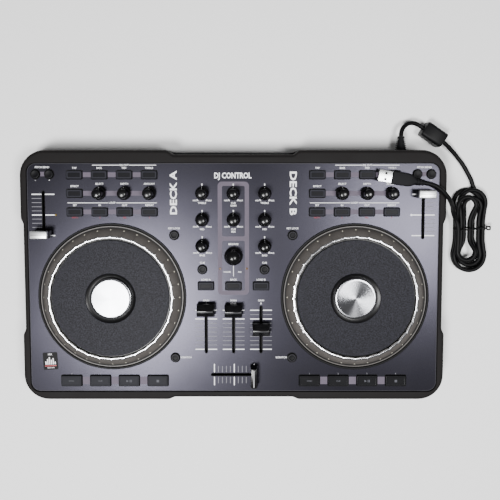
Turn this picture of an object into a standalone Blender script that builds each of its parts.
"""Two-deck DJ controller with a fixed USB cord, as separate parts. Metres, +Z up.

The origin is on the table, under the middle of the body. +X points to the right deck and +Y to the back.
"""

import math

import bmesh
import bpy
from mathutils import Matrix, Vector

# Body: a bottom case and a surround frame, one above the other, round a metal face panel.
BODY_X = 0.420
BODY_Y = 0.250
CORNER_R = 0.025
SIDE_DENT = 0.0025  # depth of the recess in the middle of each side
FRAME_BACK_DENT = 0.0044  # the frame draws in further at the back, over a ledge of the case
DENT_HALF_X = 0.058  # half length of the front and back recesses
DENT_LOW_Y = -0.052  # ends of the left and right recesses
DENT_HIGH_Y = 0.051
DENT_RAMP = 0.008
WALL = 0.0025
GAP = 0.0003  # air between pieces that touch
FOOT_H = 0.003
FOOT_R = 0.009
CASE_LOW = FOOT_H + GAP
CASE_FLOOR = 0.0058
SPLIT_Z = 0.020
FRAME_TOP = 0.0335

# Face panel. Every place on the panel below is measured from the panel's own centre.
PANEL_X = 0.405
PANEL_Y = 0.228
PANEL_R = 0.009
PANEL_TOP = 0.032
PANEL_T = 0.002
PANEL_CENTRE_Y = -0.002

# Jog wheels
JOG_X = 0.1203
JOG_Y = -0.0184
JOG_HOLE_R = 0.0723
JOG_FLANGE_R = 0.0708
JOG_FLANGE_LOW = 0.0292
JOG_FLANGE_TOP = 0.0328
JOG_SHOULDER_R = 0.0685  # foot of the sloping skirt
JOG_RING_R = 0.0622  # head of the skirt
JOG_TOP = 0.040
JOG_WELL_R = 0.0590
JOG_WELL = 0.0374  # floor that the disc and the cap are glued to
JOG_WELL_LOW = 0.0355
JOG_HUB_R = 0.0075
DISC_HOLE_R = 0.0245
DISC_R = 0.0575
DISC_TOP = 0.0392
HUB_CAP_R = 0.0205
HUB_CAP_TOP = 0.0404
SPINDLE_R = 0.003
SPINDLE_CLEARANCE = 0.00015
SPINDLE_LOW = 0.008
SPINDLE_HEAD = 0.0290
SLEEVE_R = 0.0063
SLEEVE_TOP = 0.0285

# Rows and columns of keys and knobs
COLUMN_FIRST = 0.0825
COLUMN_PITCH = 0.02445
COLUMNS = 4
TOP_ROW_Y = 0.10275
FX_ROW_Y = 0.0845
LOOP_ROW_Y = 0.0662
TRANSPORT_FIRST = 0.0758
TRANSPORT_PITCH = 0.02875
TRANSPORT_Y = -0.1033
LOAD_Y = -0.0074
LOAD_PITCH = 0.0273
BEND_X = 0.1873
BEND_HALF_PITCH = 0.0068
BEND_Y = 0.1034
MIXER_PITCH = 0.0308
MIXER_ROWS = (0.0845, 0.0585, 0.0325)
BROWSE_Y = 0.0225
ROUND_KEYS = {"keylock": (0.0584, 0.0432), "scratch": (0.0582, -0.0798), "cue": (0.0308, 0.0090)}

# Keys: a key stands on a web under the panel, and goes down by the travel.
KEY_SIZE = (0.0150, 0.0076)
TRANSPORT_KEY_SIZE = (0.0200, 0.0105)
KEY_CLEARANCE = 0.0004
KEY_TOP = 0.0338
KEY_EDGE = 0.0006
WEB_LOW = 0.0266
WEB_HIGH = 0.0282
WEB_MARGIN = 0.0010
ROUND_KEY_R = 0.0042
ROUND_KEY_SEGMENTS = 12

# Faders
SLOT_W = 0.0024
LEVER_W = 0.0014
LEVER_L = 0.0040
LEVER_LOW = 0.0274
CAP_LOW = 0.0342
PITCH_X = 0.1868
PITCH_MIDDLE_Y = 0.0632
PITCH_TRAVEL = 0.0420
PITCH_RESTS = {"left": -0.0182, "right": 0.0210}
LINE_X = 0.0273
LINE_MIDDLE_Y = -0.05155
LINE_TRAVEL = 0.0420
CROSS_MIDDLE_X = 0.0003
CROSS_Y = -0.0973
CROSS_TRAVEL = 0.0400
PITCH_CAP = (0.0175, 0.0080, 0.0128)  # width, depth, height
LINE_CAP = (0.0175, 0.0123, 0.0108)
CROSS_CAP = (0.0083, 0.0210, 0.0098)
LINE_RESTS = {"channel_a_fader": (-1, 0.0210), "master_fader": (0, 0.0202), "channel_b_fader": (1, 0.0016)}

# Knobs
KNOB_LOW = 0.0332
KNOB_SKIRT_R = 0.0066
KNOB_SKIRT_TOP = 0.0352
KNOB_R = 0.0051
KNOB_TOP = 0.0456
KNOB_HOLE_R = 0.0042
KNOB_SEGMENTS = 12
SHAFT_R = 0.003
SHAFT_LOW = 0.0271
BROWSE_SKIRT_R = 0.0090
BROWSE_R = 0.0072
BROWSE_TOP = 0.0480
BROWSE_BORE_R = 0.0033
BROWSE_SHAFT_TOP = 0.0400
BROWSE_HOLE_R = 0.0050

# Circuit board and what is soldered to it
BOARD = (0.396, 0.216)
BOARD_LOW = 0.018
BOARD_T = 0.0016
BOARD_TOP = BOARD_LOW + BOARD_T
POT_TOP = 0.0268
ENCODER_TOP = 0.0260
SWITCH_TOP = 0.0253
POT_SIZE = (0.0095, 0.0110)
SWITCH_SIZE = (0.0060, 0.0060)
SLIDER_W = 0.0086
SLIDER_EXTRA = 0.014

# Screw posts, by quadrant, measured from the panel's centre
POSTS = ((0.050, 0.070), (0.050, -0.088), (0.1975, -0.104), (0.171, 0.086))
POST_R = 0.0055
POST_NECK_R = 0.0032
POST_SHOULDER = BOARD_LOW - GAP
POST_TOP = PANEL_TOP - PANEL_T - GAP
SCREW_RECESS_R = 0.0032
SCREW_RECESS_TOP = 0.0075

# USB cord
CORD_D = 0.0045
RELIEF_X = 0.169
RELIEF_Z = 0.013
RELIEF_R = 0.0056
RELIEF_NECK_R = 0.0043
RELIEF_RIDGES = 4
RELIEF_END = 0.1392
FERRITE_CENTRE = Vector((0.2027, 0.1410, 0.0083))
FERRITE_TURN = math.radians(-34.5)
FERRITE_SIZE = (0.0240, 0.0160, 0.0160)
FERRITE_BORE_R = 0.0028
LEAD_ROUTE = (
    (0.1690, 0.1395, 0.0130), (0.1694, 0.1440, 0.0127), (0.1722, 0.1490, 0.0119), (0.1773, 0.1524, 0.0108),
    (0.1832, 0.1526, 0.0096), (0.1882, 0.1507, 0.0086), (0.1928, 0.1478, 0.0083), (0.2027, 0.1410, 0.0083),
    (0.2126, 0.1342, 0.0083), (0.2180, 0.1300, 0.0069), (0.2240, 0.1246, 0.0046), (0.2302, 0.1180, 0.0030),
    (0.2366, 0.1097, 0.0026), (0.2422, 0.1000, 0.0026), (0.2453, 0.0940, 0.0026), (0.2468, 0.0893, 0.0026),
)
TAIL_ROUTE = (
    (0.1854, 0.0931, 0.0383), (0.1900, 0.0922, 0.0382), (0.1950, 0.0907, 0.0381), (0.2000, 0.0880, 0.0379),
    (0.2046, 0.0843, 0.0374), (0.2088, 0.0800, 0.0362), (0.2124, 0.0757, 0.0338), (0.2152, 0.0725, 0.0300),
    (0.2177, 0.0698, 0.0256), (0.2198, 0.0672, 0.0212), (0.2214, 0.0645, 0.0174), (0.2228, 0.0614, 0.0152),
)
HANK_CENTRE = (0.2430, 0.0440)
HANK_SIZE = (0.0360, 0.0900, 0.0138)
PLUG_CENTRE = Vector((0.1653, 0.0965, 0.0383))  # middle of the overmould
PLUG_TURN = math.radians(170.3)  # from the cord towards the mouth
PLUG_SIZE = (0.0232, 0.0130, 0.0080)
PLUG_RELIEF_L = 0.0085
SHELL_SIZE = (0.0130, 0.0120, 0.0045)
SHELL_WALL = 0.0003


def clear_scene():
    for obj in list(bpy.data.objects):
        bpy.data.objects.remove(obj, do_unlink=True)


def make_material(name, colour, roughness, metallic=0.0):
    material = bpy.data.materials.new(name)
    material.use_nodes = True
    shader = material.node_tree.nodes["Principled BSDF"]
    shader.inputs["Base Color"].default_value = (*colour, 1.0)
    shader.inputs["Roughness"].default_value = roughness
    shader.inputs["Metallic"].default_value = metallic
    return material


def add_box(bm, low, high):
    """A box between two corners."""
    low = Vector(low)
    size = Vector(high) - low
    made = bmesh.ops.create_cube(bm, size=1.0)["verts"]
    bmesh.ops.scale(bm, verts=made, vec=size)
    bmesh.ops.translate(bm, verts=made, vec=low + size / 2)


def add_block(bm, centre, size, low, high):
    """An upright box round a place on the plan."""
    half_x = size[0] / 2
    half_y = size[1] / 2
    add_box(bm, (centre[0] - half_x, centre[1] - half_y, low), (centre[0] + half_x, centre[1] + half_y, high))


def add_prism(bm, points, low, high):
    """An outline in the XY plane, extruded from low to high."""
    face = bm.faces.new([bm.verts.new((x, y, low)) for x, y in points])
    made = bmesh.ops.extrude_face_region(bm, geom=[face])["geom"]
    top = [v for v in made if isinstance(v, bmesh.types.BMVert)]
    bmesh.ops.translate(bm, verts=top, vec=(0.0, 0.0, high - low))


def add_turned(bm, profile, segments, centre=(0.0, 0.0), axis="Z"):
    """A profile of (radius, height) turned about an upright axis, or about a level one along Y."""
    verts = [bm.verts.new((radius, 0.0, height)) for radius, height in profile]
    edges = [bm.edges.new(pair) for pair in zip(verts, verts[1:])]
    if profile[0][0] > 0.0:
        edges.append(bm.edges.new((verts[-1], verts[0])))
    turn = 2 * math.pi
    made = bmesh.ops.spin(
        bm, geom=verts + edges, axis=(0, 0, 1), cent=(0, 0, 0), angle=turn, steps=segments, use_merge=True
    )
    turned = {v for item in made["geom_last"] for v in getattr(item, "verts", (item,))} | set(verts)
    island = linked_verts(turned)
    if axis == "Y":
        bmesh.ops.rotate(bm, verts=island, matrix=Matrix.Rotation(-math.pi / 2, 3, "X"), cent=(0, 0, 0))
    bmesh.ops.translate(bm, verts=island, vec=(*centre, 0.0)[:3])
    bmesh.ops.remove_doubles(bm, verts=island, dist=1e-6)


def linked_verts(start):
    """Every vertex joined to these by edges."""
    found = {v for v in start if v.is_valid}
    waiting = list(found)
    while waiting:
        vert = waiting.pop()
        for edge in vert.link_edges:
            other = edge.other_vert(vert)
            if other not in found:
                found.add(other)
                waiting.append(other)
    return list(found)


def add_cylinder(bm, centre, radius, low, high, segments):
    add_turned(bm, ((0.0, low), (radius, low), (radius, high), (0.0, high)), segments, centre)


def bevel_edges(bm, width, segments, chosen):
    """Rounds the edges whose two ends both pass the test."""
    edges = [edge for edge in bm.edges if all(chosen(vert.co) for vert in edge.verts)]
    bmesh.ops.bevel(
        bm, geom=edges, offset=width, segments=segments, profile=0.5, affect="EDGES", material=-1
    )


def mesh_of(name, bm):
    bmesh.ops.recalc_face_normals(bm, faces=bm.faces[:])
    mesh = bpy.data.meshes.new(name)
    bm.to_mesh(mesh)
    bm.free()
    mesh.shade_smooth()
    mesh.set_sharp_from_angle(angle=math.radians(35))
    return mesh


def add_object(name, bm, material, location=(0.0, 0.0, 0.0), parent=None):
    obj = bpy.data.objects.new(name, mesh_of(name, bm))
    obj.data.materials.append(material)
    obj.location = location
    obj.parent = parent
    bpy.context.scene.collection.objects.link(obj)
    return obj


def add_empty(name, location, parent=None):
    empty = bpy.data.objects.new(name, None)
    empty.location = location
    empty.parent = parent
    bpy.context.scene.collection.objects.link(empty)
    return empty


def combine(obj, bm, operation):
    """Joins the shapes in bm to an object, or cuts them from it, with a Boolean."""
    tool = bpy.data.objects.new(f"{obj.name}_{operation.lower()}", mesh_of(obj.name, bm))
    tool.location = obj.location
    tool.parent = obj.parent
    tool.hide_render = True
    tool.display_type = "WIRE"
    bpy.context.scene.collection.objects.link(tool)
    modifier = obj.modifiers.new(operation.title(), "BOOLEAN")
    modifier.operation = operation
    modifier.solver = "EXACT"
    modifier.object = tool


def arc(centre, radius, start, end, steps):
    """Points on an arc, in degrees, both ends included."""
    angles = [math.radians(start + (end - start) * i / steps) for i in range(steps + 1)]
    return [(centre[0] + radius * math.cos(a), centre[1] + radius * math.sin(a)) for a in angles]


def rounded_rectangle(size_x, size_y, radius, centre=(0.0, 0.0), steps=5):
    x = size_x / 2 - radius
    y = size_y / 2 - radius
    corners = ((x, -y, -90), (x, y, 0), (-x, y, 90), (-x, -y, 180))
    return [
        point
        for cx, cy, start in corners
        for point in arc((centre[0] + cx, centre[1] + cy), radius, start, start + 90, steps)
    ]


def stadium(centre, length, width, along_x):
    """A slot's outline: straight sides and round ends."""
    size = (length, width) if along_x else (width, length)
    return rounded_rectangle(size[0], size[1], width / 2 - 1e-5, centre, steps=2)


def body_outline(inset, back_dent=SIDE_DENT):
    """The body seen from above: round corners, and a shallow recess in the middle of each side."""
    half_x = BODY_X / 2 - inset
    half_y = BODY_Y / 2 - inset
    radius = CORNER_R - inset
    far = DENT_HALF_X + DENT_RAMP
    low = DENT_LOW_Y - DENT_RAMP
    high = DENT_HIGH_Y + DENT_RAMP
    x = half_x - radius
    y = half_y - radius
    dent_y = half_y - SIDE_DENT
    dent_x = half_x - SIDE_DENT
    front = [(-far, -half_y), (-DENT_HALF_X, -dent_y), (DENT_HALF_X, -dent_y), (far, -half_y)]
    right = [(half_x, low), (dent_x, DENT_LOW_Y), (dent_x, DENT_HIGH_Y), (half_x, high)]
    points = front + arc((x, -y), radius, -90, 0, 5) + right + arc((x, y), radius, 0, 90, 5)
    deep_y = half_y - back_dent
    points += [(far, half_y), (DENT_HALF_X, deep_y), (-DENT_HALF_X, deep_y), (-far, half_y)]
    points += arc((-x, y), radius, 90, 180, 5)
    return points + [(-px, py) for px, py in reversed(right)] + arc((-x, -y), radius, 180, 270, 5)


def on_panel(x, y):
    """A place measured from the panel's centre, in the part's frame."""
    return (x, y + PANEL_CENTRE_Y)


def column_x(side, column):
    return side * (COLUMN_FIRST + column * COLUMN_PITCH)


def fx_row(side):
    """The effect key and the three effect knobs, left to right, which is the same order on both decks."""
    first = column_x(1, 0) if side > 0 else column_x(-1, COLUMNS - 1)
    return [first + i * COLUMN_PITCH for i in range(COLUMNS)]


def post_places():
    return [on_panel(side * x, y) for side in (-1, 1) for x, y in POSTS]


def knob_places():
    """Every small knob: name to its place."""
    places = {}
    for deck, side in DECKS:
        for number, x in enumerate(fx_row(side)[1:], start=1):
            places[f"{deck}_fx_knob_{number}"] = on_panel(x, FX_ROW_Y)
    for channel, side in (("a", -1), ("b", 1)):
        for band, y in zip(("treble", "mid", "bass"), MIXER_ROWS):
            places[f"{band}_{channel}_knob"] = on_panel(side * MIXER_PITCH, y)
    places["cue_gain_knob"] = on_panel(0.0, MIXER_ROWS[0])
    places["cue_mix_knob"] = on_panel(0.0, MIXER_ROWS[1])
    return places


def key_strips():
    """Strips of keys moulded in one piece: name to (key size, key places)."""
    strips = {}
    for deck, side in DECKS:
        columns = [column_x(side, i) for i in range(COLUMNS)]
        top = [on_panel(x, TOP_ROW_Y) for x in columns]
        strips[f"{deck}_fx_keys"] = (KEY_SIZE, top + [on_panel(fx_row(side)[0], FX_ROW_Y)])
        strips[f"{deck}_loop_keys"] = (KEY_SIZE, [on_panel(x, LOOP_ROW_Y) for x in columns])
        transport = [side * (TRANSPORT_FIRST + i * TRANSPORT_PITCH) for i in range(COLUMNS)]
        strips[f"{deck}_transport_keys"] = (TRANSPORT_KEY_SIZE, [on_panel(x, TRANSPORT_Y) for x in transport])
    for number, name in enumerate(("load_a_key", "back_key", "load_b_key")):
        strips[name] = (KEY_SIZE, [on_panel((number - 1) * LOAD_PITCH, LOAD_Y)])
    return strips


def bend_places(side):
    return [on_panel(side * BEND_X + offset, BEND_Y) for offset in (-BEND_HALF_PITCH, BEND_HALF_PITCH)]


def round_key_places():
    return {
        f"{deck}_{name}_key": on_panel(side * x, y)
        for deck, side in DECKS
        for name, (x, y) in ROUND_KEYS.items()
    }


def slots():
    """Each fader's slot in the panel: centre, travel of its lever and whether it runs along X."""
    found = [(on_panel(side * PITCH_X, PITCH_MIDDLE_Y), PITCH_TRAVEL, False) for _, side in DECKS]
    found += [(on_panel(side * LINE_X, LINE_MIDDLE_Y), LINE_TRAVEL, False) for side in (-1, 0, 1)]
    return found + [(on_panel(CROSS_MIDDLE_X, CROSS_Y), CROSS_TRAVEL, True)]


def build_bottom_case(material):
    bm = bmesh.new()
    add_prism(bm, body_outline(0.0), CASE_LOW, SPLIT_Z)
    bevel_edges(bm, 0.003, 2, lambda co: co.z < CASE_LOW + 1e-6)
    case = add_object("bottom_case", bm, material)
    hollow = bmesh.new()
    add_prism(hollow, body_outline(WALL), CASE_FLOOR, SPLIT_Z + 0.005)
    combine(case, hollow, "DIFFERENCE")
    posts = bmesh.new()
    sunk = CASE_FLOOR - 0.001
    for place in post_places():
        profile = ((0, sunk), (POST_R, sunk), (POST_R, POST_SHOULDER), (POST_NECK_R, POST_SHOULDER))
        add_turned(posts, profile + ((POST_NECK_R, POST_TOP), (0, POST_TOP)), 10, place)
    for _, side in DECKS:
        add_cylinder(posts, on_panel(side * JOG_X, JOG_Y), SLEEVE_R, sunk, SLEEVE_TOP, 16)
    combine(case, posts, "UNION")
    holes = bmesh.new()
    for place in post_places():
        add_cylinder(holes, place, SCREW_RECESS_R, CASE_LOW - 0.001, SCREW_RECESS_TOP, 10)
    bore = SPINDLE_R + SPINDLE_CLEARANCE
    for _, side in DECKS:
        add_cylinder(holes, on_panel(side * JOG_X, JOG_Y), bore, SPINDLE_LOW - 0.001, SLEEVE_TOP + 0.001, 20)
    back = BODY_Y / 2
    radius = RELIEF_NECK_R + GAP
    neck = ((0, back - 2 * WALL), (radius, back - 2 * WALL), (radius, back + 0.001), (0, back + 0.001))
    add_turned(holes, neck, 16, (RELIEF_X, 0.0, RELIEF_Z), axis="Y")
    combine(case, holes, "DIFFERENCE")


def build_surround_frame(material):
    bm = bmesh.new()
    add_prism(bm, body_outline(0.0, FRAME_BACK_DENT), SPLIT_Z + GAP, FRAME_TOP)
    bevel_edges(bm, 0.0035, 3, lambda co: co.z > FRAME_TOP - 1e-6)
    frame = add_object("surround_frame", bm, material)
    hollow = bmesh.new()
    add_prism(hollow, body_outline(WALL, FRAME_BACK_DENT), SPLIT_Z - 0.005, PANEL_TOP - PANEL_T - 0.002)
    combine(frame, hollow, "DIFFERENCE")
    opening = bmesh.new()
    outline = rounded_rectangle(PANEL_X + 2 * GAP, PANEL_Y + 2 * GAP, PANEL_R + GAP, on_panel(0.0, 0.0))
    add_prism(opening, outline, SPLIT_Z, FRAME_TOP + 0.005)
    combine(frame, opening, "DIFFERENCE")


def build_face_panel(material):
    bm = bmesh.new()
    outline = rounded_rectangle(PANEL_X, PANEL_Y, PANEL_R, on_panel(0.0, 0.0))
    add_prism(bm, outline, PANEL_TOP - PANEL_T, PANEL_TOP)
    panel = add_object("face_panel", bm, material)
    low = PANEL_TOP - PANEL_T - 0.001
    high = PANEL_TOP + 0.001
    holes = bmesh.new()
    for _, side in DECKS:
        add_cylinder(holes, on_panel(side * JOG_X, JOG_Y), JOG_HOLE_R, low, high, 60)
        for place in bend_places(side):
            add_cylinder(holes, place, ROUND_KEY_R + KEY_CLEARANCE, low, high, ROUND_KEY_SEGMENTS)
    for place in knob_places().values():
        add_cylinder(holes, place, KNOB_HOLE_R, low, high, 8)
    for place in round_key_places().values():
        add_cylinder(holes, place, ROUND_KEY_R + KEY_CLEARANCE, low, high, ROUND_KEY_SEGMENTS)
    add_cylinder(holes, on_panel(0.0, BROWSE_Y), BROWSE_HOLE_R, low, high, 12)
    for size, places in key_strips().values():
        for place in places:
            add_block(holes, place, (size[0] + 2 * KEY_CLEARANCE, size[1] + 2 * KEY_CLEARANCE), low, high)
    for centre, travel, along_x in slots():
        add_prism(holes, stadium(centre, travel + LEVER_L + 0.0012, SLOT_W, along_x), low, high)
    combine(panel, holes, "DIFFERENCE")


def build_main_board(material):
    bm = bmesh.new()
    add_block(bm, on_panel(0.0, 0.0), BOARD, BOARD_LOW, BOARD_TOP)
    board = add_object("main_board", bm, material)
    sunk = BOARD_TOP - 0.0005
    parts = bmesh.new()
    for place in knob_places().values():
        add_block(parts, place, POT_SIZE, sunk, POT_TOP)
    add_block(parts, on_panel(0.0, BROWSE_Y), (0.012, 0.012), sunk, ENCODER_TOP)
    for centre, travel, along_x in slots():
        length = travel + SLIDER_EXTRA
        size = (length, SLIDER_W) if along_x else (SLIDER_W, length)
        add_block(parts, centre, size, sunk, LEVER_LOW - GAP)
    switches = [place for _, places in key_strips().values() for place in places]
    switches += list(round_key_places().values()) + bend_places(-1) + bend_places(1)
    for place in switches:
        add_block(parts, place, SWITCH_SIZE, sunk, SWITCH_TOP)
    combine(board, parts, "UNION")
    holes = bmesh.new()
    for place in post_places():
        add_cylinder(holes, place, POST_NECK_R + 0.0004, BOARD_LOW - 0.001, BOARD_TOP + 0.001, 8)
    for _, side in DECKS:
        centre = on_panel(side * JOG_X, JOG_Y)
        add_cylinder(holes, centre, SLEEVE_R + 0.001, BOARD_LOW - 0.001, BOARD_TOP + 0.001, 12)
    combine(board, holes, "DIFFERENCE")


def build_feet(material):
    for end, end_sign in (("front", -1), ("back", 1)):
        for deck, side in DECKS:
            bm = bmesh.new()
            profile = ((0, 0), (FOOT_R - 0.0006, 0), (FOOT_R, 0.0006), (FOOT_R, FOOT_H), (0, FOOT_H))
            add_turned(bm, profile, 20)
            add_object(f"foot_{end}_{deck}", bm, material, (side * 0.180, end_sign * 0.098, 0.0))


def build_jog(deck, side, materials):
    """A wheel on its spindle, with a touch disc and a hub cap fixed to it."""
    axis = add_empty(f"{deck}_jog_axis", (*on_panel(side * JOG_X, JOG_Y), 0.0))
    rim = bmesh.new()
    profile = (
        (0, SPINDLE_LOW), (SPINDLE_R, SPINDLE_LOW), (SPINDLE_R, SPINDLE_HEAD), (JOG_HUB_R, SPINDLE_HEAD),
        (JOG_HUB_R, JOG_WELL_LOW), (JOG_WELL_R, JOG_WELL_LOW), (JOG_SHOULDER_R - 0.002, JOG_FLANGE_LOW),
        (JOG_FLANGE_R, JOG_FLANGE_LOW), (JOG_FLANGE_R, JOG_FLANGE_TOP), (JOG_SHOULDER_R, JOG_FLANGE_TOP),
        (JOG_RING_R, JOG_TOP), (JOG_WELL_R, JOG_TOP), (JOG_WELL_R, JOG_WELL), (0, JOG_WELL),
    )
    add_turned(rim, profile, 40)
    add_object(f"{deck}_jog_wheel", rim, materials["jog_rim"], parent=axis)
    low = JOG_WELL + GAP
    disc = bmesh.new()
    add_turned(disc, ((DISC_HOLE_R, low), (DISC_R, low), (DISC_R, DISC_TOP), (DISC_HOLE_R, DISC_TOP)), 40)
    add_object(f"{deck}_jog_disc", disc, materials["jog_disc"], parent=axis)
    cap = bmesh.new()
    edge = HUB_CAP_TOP - 0.0006
    profile = (
        (0, low), (HUB_CAP_R, low), (HUB_CAP_R, edge), (HUB_CAP_R - 0.001, HUB_CAP_TOP), (0, HUB_CAP_TOP)
    )
    add_turned(cap, profile, 24)
    add_object(f"{deck}_jog_cap", cap, materials["aluminium"], parent=axis)


def add_lever(obj, along_x):
    """The fader's flat lever, from its slide potentiometer up through the panel into the cap."""
    size = (LEVER_L, LEVER_W) if along_x else (LEVER_W, LEVER_L)
    bm = bmesh.new()
    add_block(bm, (0.0, 0.0), size, LEVER_LOW, CAP_LOW + 0.002)
    combine(obj, bm, "UNION")


def cap_solid(size, top_share, ridge):
    """A fader cap, narrower at the top. With a ridge it slopes up to its middle from front and back."""
    width, depth, height = size
    high = CAP_LOW + height
    bm = bmesh.new()
    half = depth / 2
    top = 0.0012 if ridge else half * top_share
    shoulder = CAP_LOW + height * (0.45 if ridge else 0.20)
    outline = (
        (-half, CAP_LOW), (half, CAP_LOW), (half, shoulder), (top, high), (-top, high), (-half, shoulder)
    )
    face = bm.faces.new([bm.verts.new((-width / 2, y, z)) for y, z in outline])
    made = bmesh.ops.extrude_face_region(bm, geom=[face])["geom"]
    far = [v for v in made if isinstance(v, bmesh.types.BMVert)]
    bmesh.ops.translate(bm, verts=far, vec=(width, 0.0, 0.0))
    crown = [v for v in bm.verts if v.co.z > high - 1e-6]
    bmesh.ops.scale(bm, verts=crown, vec=(0.93, 1.0, 1.0))
    return bm


def build_faders(materials):
    for deck, side in DECKS:
        x, middle = on_panel(side * PITCH_X, PITCH_MIDDLE_Y)
        rest = middle + PITCH_RESTS[deck]
        bm = cap_solid(PITCH_CAP, 0.96, ridge=False)
        add_lever(add_object(f"{deck}_pitch_fader", bm, materials["aluminium"], (x, rest, 0.0)), along_x=False)
    for name, (column, offset) in LINE_RESTS.items():
        x, middle = on_panel(column * LINE_X, LINE_MIDDLE_Y)
        bm = cap_solid(LINE_CAP, 1.0, ridge=True)
        add_lever(add_object(name, bm, materials["gloss_black"], (x, middle + offset, 0.0)), along_x=False)
    x, y = on_panel(CROSS_MIDDLE_X + CROSS_TRAVEL / 2, CROSS_Y)
    bm = cap_solid((CROSS_CAP[1], CROSS_CAP[0], CROSS_CAP[2]), 0.70, ridge=False)
    bmesh.ops.rotate(bm, verts=bm.verts[:], matrix=Matrix.Rotation(math.pi / 2, 3, "Z"), cent=(0, 0, 0))
    add_lever(add_object("crossfader", bm, materials["gloss_black"], (x, y, 0.0)), along_x=True)


def build_knobs(material):
    profile = (
        (0, SHAFT_LOW), (SHAFT_R, SHAFT_LOW), (SHAFT_R, KNOB_LOW), (KNOB_SKIRT_R, KNOB_LOW),
        (KNOB_SKIRT_R, KNOB_SKIRT_TOP), (KNOB_R, KNOB_SKIRT_TOP + 0.0012), (KNOB_R, KNOB_TOP - 0.0016),
        (KNOB_R - 0.0017, KNOB_TOP - 0.0003), (0, KNOB_TOP),
    )
    for name, (x, y) in knob_places().items():
        bm = bmesh.new()
        add_turned(bm, profile, KNOB_SEGMENTS)
        add_object(name, bm, material, (x, y, 0.0))


def build_browse(knob_material, shaft_material):
    """A domed knob that turns on a shaft, which slides down when the knob is pushed."""
    shaft = bmesh.new()
    add_cylinder(shaft, (0.0, 0.0), SHAFT_R, SHAFT_LOW, BROWSE_SHAFT_TOP, 12)
    axis = add_empty("browse_axis", (*on_panel(0.0, BROWSE_Y), 0.0))
    add_object("browse_shaft", shaft, shaft_material, parent=axis)
    knob = bmesh.new()
    profile = (
        (0, BROWSE_SHAFT_TOP + GAP), (BROWSE_BORE_R, BROWSE_SHAFT_TOP + GAP), (BROWSE_BORE_R, KNOB_LOW),
        (BROWSE_SKIRT_R, KNOB_LOW), (BROWSE_SKIRT_R, KNOB_SKIRT_TOP), (BROWSE_R, KNOB_SKIRT_TOP + 0.0014),
        (BROWSE_R - 0.0002, BROWSE_TOP - 0.006), (BROWSE_R - 0.001, BROWSE_TOP - 0.0025),
        (BROWSE_R - 0.0034, BROWSE_TOP - 0.0005), (0, BROWSE_TOP),
    )
    add_turned(knob, profile, 16)
    add_object("browse_knob", knob, knob_material, parent=axis)


def web_blocks(size, places):
    """The web under a strip: one block along its row, and one from the row to each key outside it."""
    half_x = size[0] / 2 + WEB_MARGIN
    half_y = size[1] / 2 + WEB_MARGIN
    row = [place for place in places if place[1] == places[0][1]]
    left = min(place[0] for place in row) - half_x
    right = max(place[0] for place in row) + half_x
    blocks = [((left, places[0][1] - half_y), (right, places[0][1] + half_y))]
    for x, y in places:
        if y < places[0][1]:
            blocks.append(((x - half_x, y - half_y), (x + half_x, places[0][1])))
    return blocks


def build_key_strips(material):
    for name, (size, places) in key_strips().items():
        row, *extra = web_blocks(size, places)
        bm = bmesh.new()
        add_box(bm, (*row[0], WEB_LOW), (*row[1], WEB_HIGH))
        strip = add_object(name, bm, material)
        for low, high in extra:
            arm = bmesh.new()
            add_box(arm, (*low, WEB_LOW), (*high, WEB_HIGH))
            combine(strip, arm, "UNION")
        keys = bmesh.new()
        for place in places:
            add_block(keys, place, size, WEB_LOW + 0.0005, KEY_TOP)
        bevel_edges(keys, KEY_EDGE, 1, lambda co: co.z > KEY_TOP - 1e-6)
        combine(strip, keys, "UNION")


def key_button_profile():
    """A round key: a flange under the panel, and a button with a dished top."""
    rim = ROUND_KEY_R
    return (
        (0, WEB_LOW), (rim + WEB_MARGIN, WEB_LOW), (rim + WEB_MARGIN, WEB_HIGH), (rim, WEB_HIGH),
        (rim, KEY_TOP - 0.0004), (rim - 0.0005, KEY_TOP), (rim - 0.0014, KEY_TOP),
        (rim - 0.0019, KEY_TOP - 0.0006), (0, KEY_TOP - 0.0009),
    )


def build_round_keys(material):
    for name, (x, y) in round_key_places().items():
        bm = bmesh.new()
        add_turned(bm, key_button_profile(), ROUND_KEY_SEGMENTS)
        add_object(name, bm, material, (x, y, 0.0))
    for deck, side in DECKS:
        places = bend_places(side)
        bm = bmesh.new()
        half = ROUND_KEY_R + WEB_MARGIN
        low = (places[0][0] - half, places[0][1] - half + 0.001, WEB_LOW)
        add_box(bm, low, (places[1][0] + half, places[1][1] + half - 0.001, WEB_HIGH))
        strip = add_object(f"{deck}_bend_keys", bm, material)
        buttons = bmesh.new()
        for place in places:
            profile = key_button_profile()
            upright = ((0, WEB_LOW + 0.0005), (ROUND_KEY_R, WEB_LOW + 0.0005)) + profile[4:]
            add_turned(buttons, upright, ROUND_KEY_SEGMENTS, place)
        combine(strip, buttons, "UNION")


def build_strain_relief(material):
    """A ridged rubber taper whose neck is held in a hole of the back wall."""
    back = BODY_Y / 2
    inside = back - WALL - GAP
    outside = back + GAP
    root = RELIEF_R + 0.0006
    bm = bmesh.new()
    profile = [(0, inside - 0.0024), (root, inside - 0.0024), (root, inside), (RELIEF_NECK_R, inside)]
    profile += [(RELIEF_NECK_R, outside), (RELIEF_R, outside)]
    tip = 0.002
    step = (RELIEF_END - tip - outside) / RELIEF_RIDGES
    for i in range(RELIEF_RIDGES):
        radius = RELIEF_R - 0.0005 * i
        groove = radius - 0.0010
        start = outside + i * step
        profile += [(radius, start + 0.6 * step), (groove, start + 0.7 * step), (groove, start + step)]
    profile += [(0.0034, RELIEF_END - tip), (0.0034, RELIEF_END), (0, RELIEF_END)]
    add_turned(bm, profile, 12)
    bmesh.ops.rotate(bm, verts=bm.verts[:], matrix=Matrix.Rotation(-math.pi / 2, 3, "X"), cent=(0, 0, 0))
    add_object("cord_strain_relief", bm, material, (RELIEF_X, 0.0, RELIEF_Z))


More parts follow.
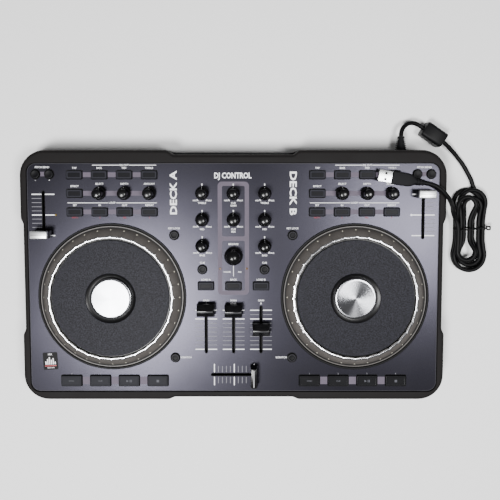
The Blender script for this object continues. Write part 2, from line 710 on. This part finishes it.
def smooth_route(points, spacing):
    """Points read at even steps from a smooth curve through the route's own points."""
    ends = [Vector(p) for p in points]
    ends = [2 * ends[0] - ends[1]] + ends + [2 * ends[-1] - ends[-2]]
    found = []
    for a, b, c, d in zip(ends, ends[1:], ends[2:], ends[3:]):
        steps = max(1, round((c - b).length / spacing))
        for i in range(steps):
            t = i / steps
            square = (2 * a - 5 * b + 4 * c - d) * t**2
            cube = (3 * b - a - 3 * c + d) * t**3
            found.append(0.5 * (2 * b + (c - a) * t + square + cube))
    return found + [ends[-2]]


def build_cord(name, route, material, end_trim):
    """A round cord along a route, cut back at its far end to clear what it meets."""
    points = smooth_route(route, CORD_D * 1.4)
    points[-1] += (points[-2] - points[-1]).normalized() * end_trim
    curve = bpy.data.curves.new(name, "CURVE")
    curve.dimensions = "3D"
    curve.bevel_depth = CORD_D / 2
    curve.bevel_resolution = 2
    curve.use_fill_caps = True
    spline = curve.splines.new("POLY")
    spline.points.add(len(points) - 1)
    for target, point in zip(spline.points, points):
        target.co = (*point, 1.0)
    cord = bpy.data.objects.new(name, curve)
    curve.materials.append(material)
    bpy.context.scene.collection.objects.link(cord)


def build_hank(material):
    bm = bmesh.new()
    outline = rounded_rectangle(HANK_SIZE[0], HANK_SIZE[1], HANK_SIZE[0] / 2 - 1e-4, HANK_CENTRE, steps=8)
    add_prism(bm, outline, 0.0, HANK_SIZE[2])
    bevel_edges(bm, 0.0020, 1, lambda co: co.z > HANK_SIZE[2] - 1e-6)
    add_object("cord_hank", bm, material)


def build_ferrite(material):
    """A moulded block round the cord, with a bore for it."""
    half = Vector(FERRITE_SIZE) / 2
    bm = bmesh.new()
    add_box(bm, -half, half)
    bevel_edges(bm, 0.0012, 1, lambda co: True)
    choke = add_object("ferrite_choke", bm, material, FERRITE_CENTRE)
    choke.rotation_euler = (0.0, 0.0, FERRITE_TURN)
    bore = bmesh.new()
    length = half.x + 0.001
    add_turned(bore, ((0, -length), (FERRITE_BORE_R, -length), (FERRITE_BORE_R, length), (0, length)), 12)
    bmesh.ops.rotate(bore, verts=bore.verts[:], matrix=Matrix.Rotation(math.pi / 2, 3, "Y"), cent=(0, 0, 0))
    combine(choke, bore, "DIFFERENCE")
    bpy.data.objects["ferrite_choke_difference"].rotation_euler = choke.rotation_euler


def build_plug(body_material, shell_material):
    """A USB plug: an overmould with a ridged tail and an inner tongue, and a metal shell round the tongue."""
    length, width, height = PLUG_SIZE
    axis = add_empty("plug_axis", PLUG_CENTRE)
    axis.rotation_euler = (0.0, 0.0, PLUG_TURN)
    body = bmesh.new()
    shoulder = length * 0.22
    neck = width * 0.29
    half = length / 2
    outline = [(-half, -neck), (shoulder - half, -width / 2), (half, -width / 2)]
    outline += [(x, -y) for x, y in reversed(outline)]
    add_prism(body, outline, -height / 2, height / 2)
    bevel_edges(body, 0.0008, 1, lambda co: True)
    overmould = add_object("usb_plug_body", body, body_material, parent=axis)
    added = bmesh.new()
    tail = (
        (0, -half - PLUG_RELIEF_L), (0.0026, -half - PLUG_RELIEF_L), (0.0031, -half - PLUG_RELIEF_L / 2),
        (0.0036, -half + 0.001), (0, -half + 0.001),
    )
    add_turned(added, tail, 12)
    bmesh.ops.rotate(added, verts=added.verts[:], matrix=Matrix.Rotation(math.pi / 2, 3, "Y"), cent=(0, 0, 0))
    tongue_y = SHELL_SIZE[1] / 2 - SHELL_WALL - GAP
    tongue_end = half + SHELL_SIZE[0] - 0.0015
    add_box(added, (half - 0.001, -tongue_y, -SHELL_SIZE[2] / 2 + 0.0008), (tongue_end, tongue_y, -0.0001))
    combine(overmould, added, "UNION")
    shell = bmesh.new()
    start = half + GAP
    end = half + SHELL_SIZE[0]
    outer = (SHELL_SIZE[1] / 2, SHELL_SIZE[2] / 2)
    add_box(shell, (start, -outer[0], -outer[1]), (end, outer[0], outer[1]))
    bevel_edges(shell, 0.0005, 1, lambda co: True)
    case = add_object("usb_plug_shell", shell, shell_material, parent=axis)
    mouth = bmesh.new()
    inner = (outer[0] - SHELL_WALL, outer[1] - SHELL_WALL)
    add_box(mouth, (start - 0.001, -inner[0], -inner[1]), (end + 0.001, inner[0], inner[1]))
    combine(case, mouth, "DIFFERENCE")


DECKS = (("left", -1), ("right", 1))

clear_scene()
materials = {
    "case": make_material("case_plastic", (0.015, 0.015, 0.016), 0.55),
    "surround": make_material("surround_rubber", (0.012, 0.012, 0.013), 0.65),
    "panel": make_material("panel_metal", (0.11, 0.11, 0.125), 0.38, 0.7),
    "board": make_material("board_laminate", (0.02, 0.12, 0.05), 0.5),
    "foot": make_material("foot_rubber", (0.02, 0.02, 0.02), 0.8),
    "jog_rim": make_material("jog_rim_plastic", (0.17, 0.15, 0.14), 0.45),
    "jog_disc": make_material("jog_disc_plastic", (0.05, 0.05, 0.058), 0.5),
    "aluminium": make_material("aluminium", (0.78, 0.78, 0.80), 0.28, 1.0),
    "gloss_black": make_material("gloss_black", (0.008, 0.008, 0.009), 0.18),
    "key": make_material("key_rubber", (0.025, 0.025, 0.028), 0.5),
    "shaft": make_material("shaft_steel", (0.55, 0.55, 0.56), 0.3, 1.0),
    "cord": make_material("cord_jacket", (0.010, 0.010, 0.011), 0.45),
    "plug_shell": make_material("plug_shell", (0.75, 0.75, 0.76), 0.2, 1.0),
}
build_bottom_case(materials["case"])
build_surround_frame(materials["surround"])
build_face_panel(materials["panel"])
build_main_board(materials["board"])
build_feet(materials["foot"])
for deck, side in DECKS:
    build_jog(deck, side, materials)
build_faders(materials)
build_knobs(materials["gloss_black"])
build_browse(materials["gloss_black"], materials["shaft"])
build_key_strips(materials["key"])
build_round_keys(materials["key"])
build_strain_relief(materials["cord"])
build_ferrite(materials["cord"])
build_cord("cord_lead", LEAD_ROUTE, materials["cord"], 0.0010)
build_cord("cord_tail", TAIL_ROUTE, materials["cord"], 0.0)
build_hank(materials["cord"])
build_plug(materials["cord"], materials["plug_shell"])
